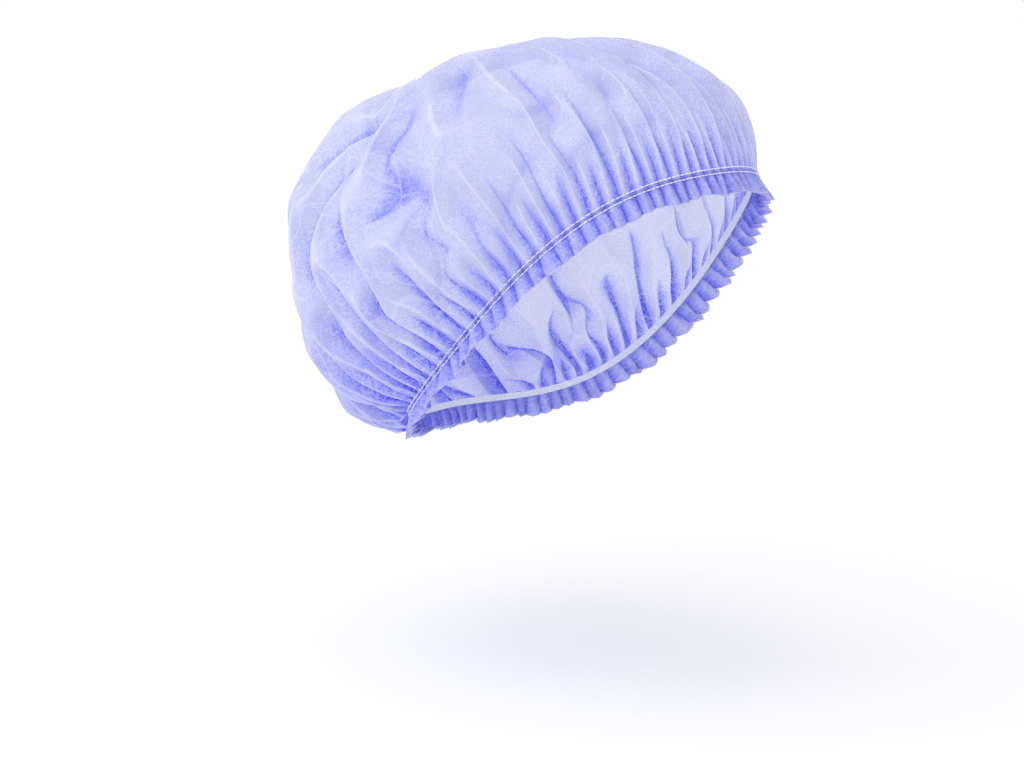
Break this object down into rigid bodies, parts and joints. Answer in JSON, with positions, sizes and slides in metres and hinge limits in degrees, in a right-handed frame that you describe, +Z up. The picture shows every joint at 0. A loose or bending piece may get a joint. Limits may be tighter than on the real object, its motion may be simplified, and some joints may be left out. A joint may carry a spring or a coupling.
{
  "type": "disposable hairnet (bouffant cap)",
  "caption": "Light nonwoven bouffant cap, gathered onto an elastic ring with a ruffled hem, in its worn, puffed-up shape.",
  "frame": {"origin": "centre of the elastic's opening, where the cap sits on a head", "axes": "+Z up as the cap is worn, -Y towards the forehead and +Y towards the back of the head, -X towards the wearer's right"},
  "size_m": [0.2099, 0.2615, 0.196],
  "materials": {
    "crown_nonwoven": "thin periwinkle-blue spunbond nonwoven, see-through where it is single",
    "hem_nonwoven": "the same nonwoven, folded double and gathered, so deeper in colour",
    "elastic": "flat knitted elastic, off-white, matt"
  },
  "bodies": {
    "root": {"crown": "crown_nonwoven", "hem_frill": "hem_nonwoven", "elastic_band": "elastic"}
  },
  "joints": []
}
